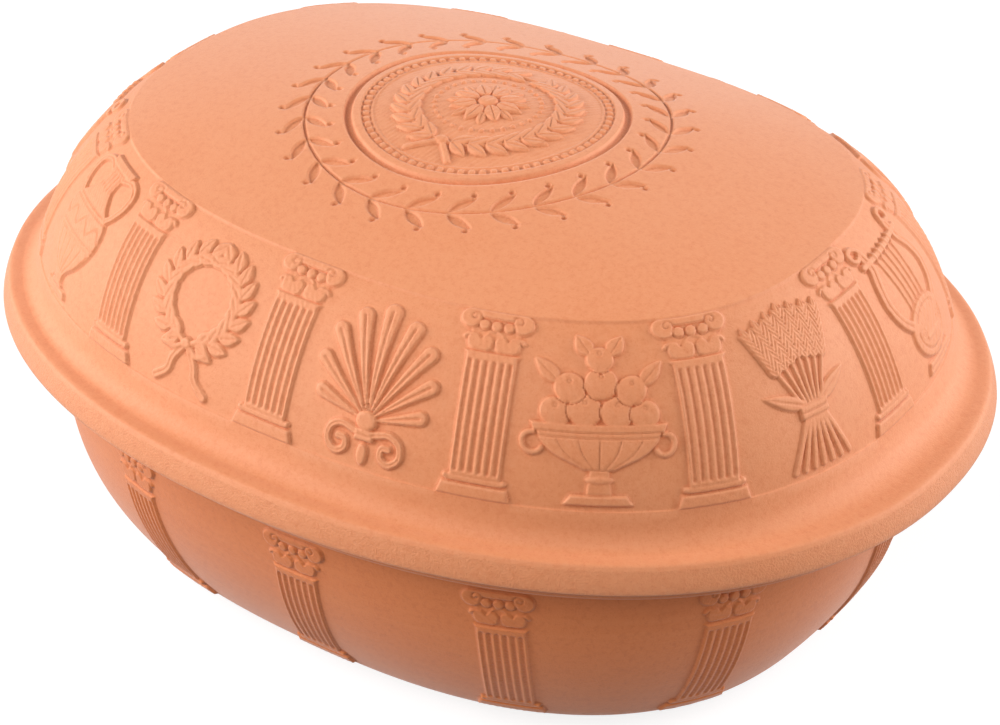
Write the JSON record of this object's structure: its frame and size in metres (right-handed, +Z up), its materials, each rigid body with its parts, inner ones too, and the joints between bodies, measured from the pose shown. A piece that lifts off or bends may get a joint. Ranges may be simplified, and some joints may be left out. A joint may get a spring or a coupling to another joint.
{
  "type": "clay roaster",
  "caption": "Oval unglazed clay roasting dish with a domed lift-off lid, fluted columns in low relief and a round medallion on top.",
  "frame": {"origin": "on the table under the middle of the dish", "axes": "+X along the long axis of the oval, +Y across it, +Z up, the way the lid lifts"},
  "size_m": [0.345, 0.27, 0.1604],
  "materials": {
    "dish_clay": "matte unglazed terracotta, faint wipe marks",
    "lid_clay": "matte unglazed terracotta, fine grain"
  },
  "bodies": {
    "dish": {"dish": "dish_clay"},
    "lid": {"lid": "lid_clay"}
  },
  "joints": [
    {"name": "lid_lift", "type": "slide", "parent": "dish", "child": "lid", "axis": [0, 0, 1], "range_m": [0, 0.12]}
  ]
}
